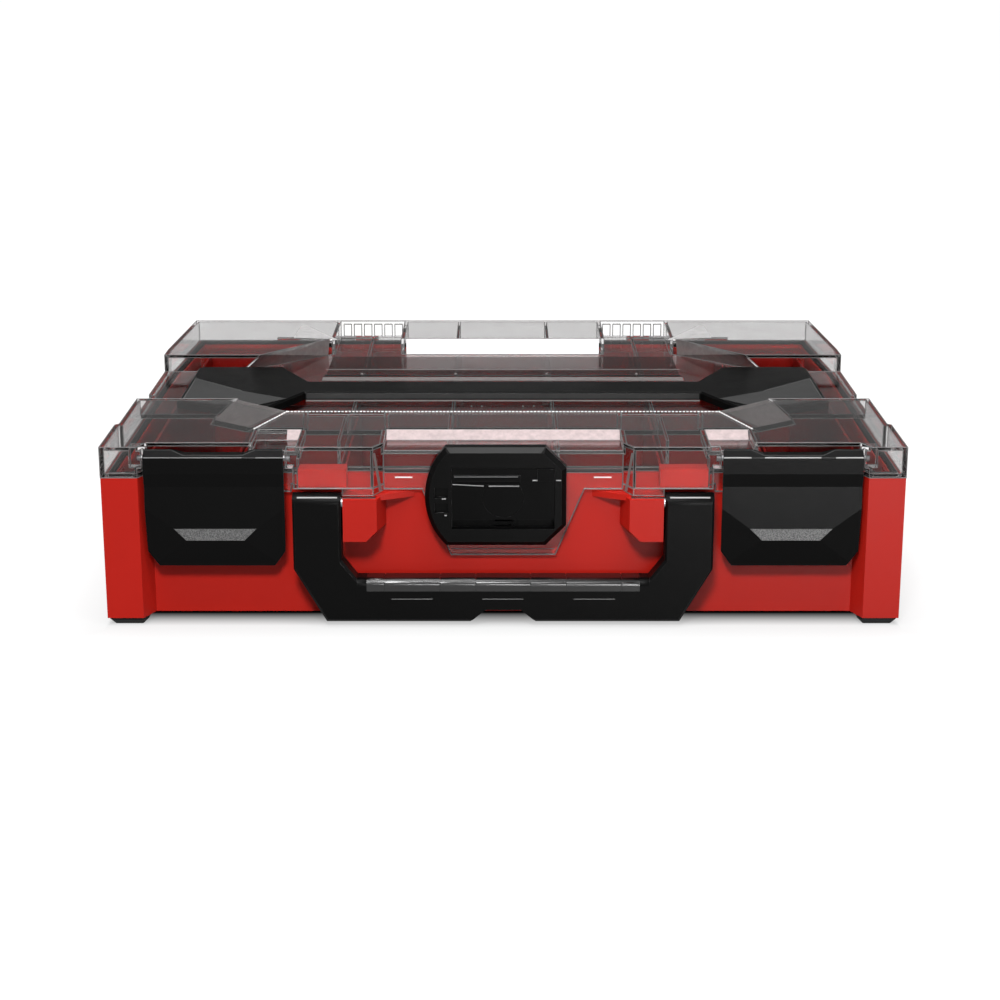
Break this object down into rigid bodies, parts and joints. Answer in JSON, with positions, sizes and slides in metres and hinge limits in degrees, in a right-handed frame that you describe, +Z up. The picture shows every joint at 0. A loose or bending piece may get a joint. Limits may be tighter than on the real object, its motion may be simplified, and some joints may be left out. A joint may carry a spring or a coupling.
{
  "type": "tool case",
  "caption": "Low stackable tool case: tub with lift-out bins, clear hinged lid with stacking channel, bar and lock, front latches and a folding U handle.",
  "frame": {"origin": "centre of the bounding box in plan, on the plane the feet stand on", "axes": "+X to the right of someone facing the latches, along the longest side; +Y from the latches to the hinge; +Z up"},
  "size_m": [0.502, 0.409, 0.117],
  "materials": {
    "red_plastic": "fine moulded texture",
    "bin_plastic": "smooth moulded",
    "clear_plastic": "clear polycarbonate",
    "black_plastic": "fine moulded texture",
    "lock_plastic": "smooth moulded",
    "grip_rubber": "soft touch",
    "grip_strip": "coarse spark texture",
    "foot_rubber": "matte",
    "seal_rubber": "matte",
    "steel": "zinc plated"
  },
  "bodies": {
    "base": {"base_shell": "red_plastic", "foot_screws": "steel", "handle_pin_left": "steel", "handle_pin_right": "steel", "hinge_pin_left": "steel", "hinge_pin_right": "steel", "foot_front_left": "foot_rubber", "foot_front_right": "foot_rubber", "foot_rear_left": "foot_rubber", "foot_rear_right": "foot_rubber", "bin_1_1": "bin_plastic", "bin_1_2": "bin_plastic", "bin_2_1": "bin_plastic", "bin_2_2": "bin_plastic", "bin_3_1": "bin_plastic", "bin_3_2": "bin_plastic", "bin_4_1": "bin_plastic", "bin_4_2": "bin_plastic", "bin_5_1": "bin_plastic", "bin_5_2": "bin_plastic", "side_bin_left": "bin_plastic", "side_bin_right": "bin_plastic"},
    "lid": {"lid_shell": "clear_plastic", "lid_seal": "seal_rubber", "stacking_bar": "black_plastic", "stacking_bar_screws": "steel", "latch_pin_left": "steel", "latch_pin_right": "steel", "stack_lock_housing": "black_plastic", "stack_lock_screws": "steel", "stack_lock_spring": "steel"},
    "latch_left": {"latch_left": "black_plastic", "latch_pad_left": "grip_strip"},
    "latch_right": {"latch_right": "black_plastic", "latch_pad_right": "grip_strip"},
    "handle": {"handle": "black_plastic", "handle_grip": "grip_rubber"},
    "lock_slider": {"stack_lock_slider": "lock_plastic"}
  },
  "joints": [
    {"name": "lid_hinge", "type": "hinge", "parent": "base", "child": "lid", "pos_m": [0, 0.2, 0.097], "axis": [-1, 0, 0], "range_deg": [0, 105]},
    {"name": "latch_left_hinge", "type": "hinge", "parent": "lid", "child": "latch_left", "pos_m": [-0.1805, -0.1955, 0.109], "axis": [-1, 0, 0], "range_deg": [0, 100]},
    {"name": "latch_right_hinge", "type": "hinge", "parent": "lid", "child": "latch_right", "pos_m": [0.1805, -0.1955, 0.109], "axis": [-1, 0, 0], "range_deg": [0, 100]},
    {"name": "handle_hinge", "type": "hinge", "parent": "base", "child": "handle", "pos_m": [0, -0.1985, 0.081], "axis": [-1, 0, 0], "range_deg": [0, 90]},
    {"name": "stack_lock_slide", "type": "slide", "parent": "lid", "child": "lock_slider", "axis": [0, 0, -1], "range_m": [0, 0.006], "stiffness_N_per_m": 300, "springref_m": -0.003, "deforming": ["stack_lock_spring"]}
  ]
}
